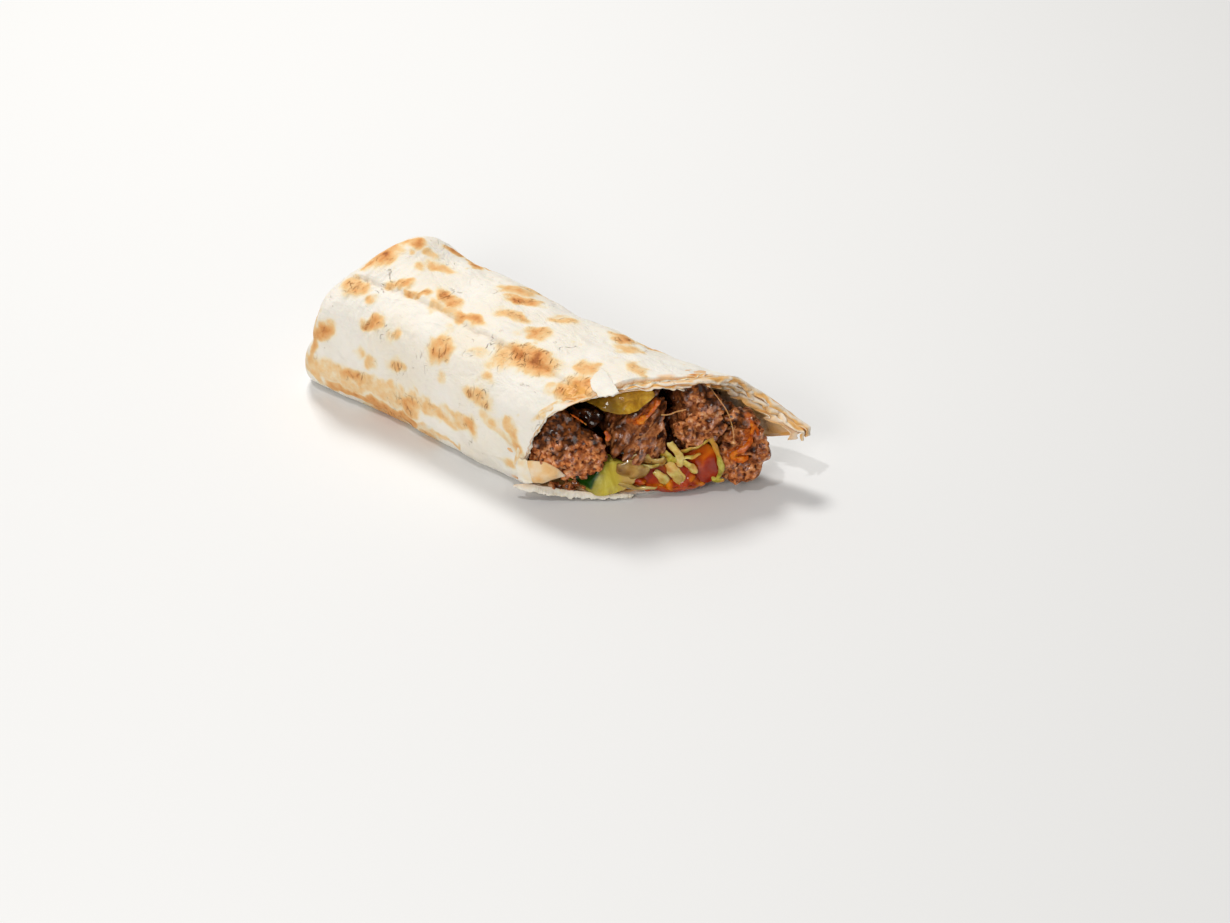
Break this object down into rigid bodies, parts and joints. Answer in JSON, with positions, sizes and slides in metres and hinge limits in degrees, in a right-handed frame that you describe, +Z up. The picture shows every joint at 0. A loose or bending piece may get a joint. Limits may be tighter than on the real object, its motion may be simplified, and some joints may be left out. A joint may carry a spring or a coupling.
{
  "type": "beef shawarma wrap half",
  "caption": "Rolled flatbread wrap cut on the slant, tucked shut at one end, with beef, pickle, cucumber, onion, tomato and lettuce showing at the cut.",
  "frame": {"origin": "middle of the bounding box's underside, on the surface that the wrap lies on", "axes": "+X from the shut end to the cut end, +Z up, +Y towards the longer side of the slanting cut"},
  "size_m": [0.1764, 0.0828, 0.0532],
  "materials": {
    "flatbread": "floury, with toasted spots",
    "beef": "moist, crumbly",
    "pickle": "wet",
    "cucumber": "wet",
    "onion": "wet, translucent",
    "tomato": "wet",
    "lettuce": "wet leaf"
  },
  "bodies": {
    "root": {"flatbread": "flatbread", "beef_near": "beef", "beef_middle": "beef", "beef_upper": "beef", "beef_far": "beef", "beef_scrap": "beef", "pickle": "pickle", "cucumber": "cucumber", "onion": "onion", "tomato_near": "tomato", "tomato_far": "tomato", "lettuce": "lettuce", "lettuce_strip": "lettuce"}
  },
  "joints": []
}
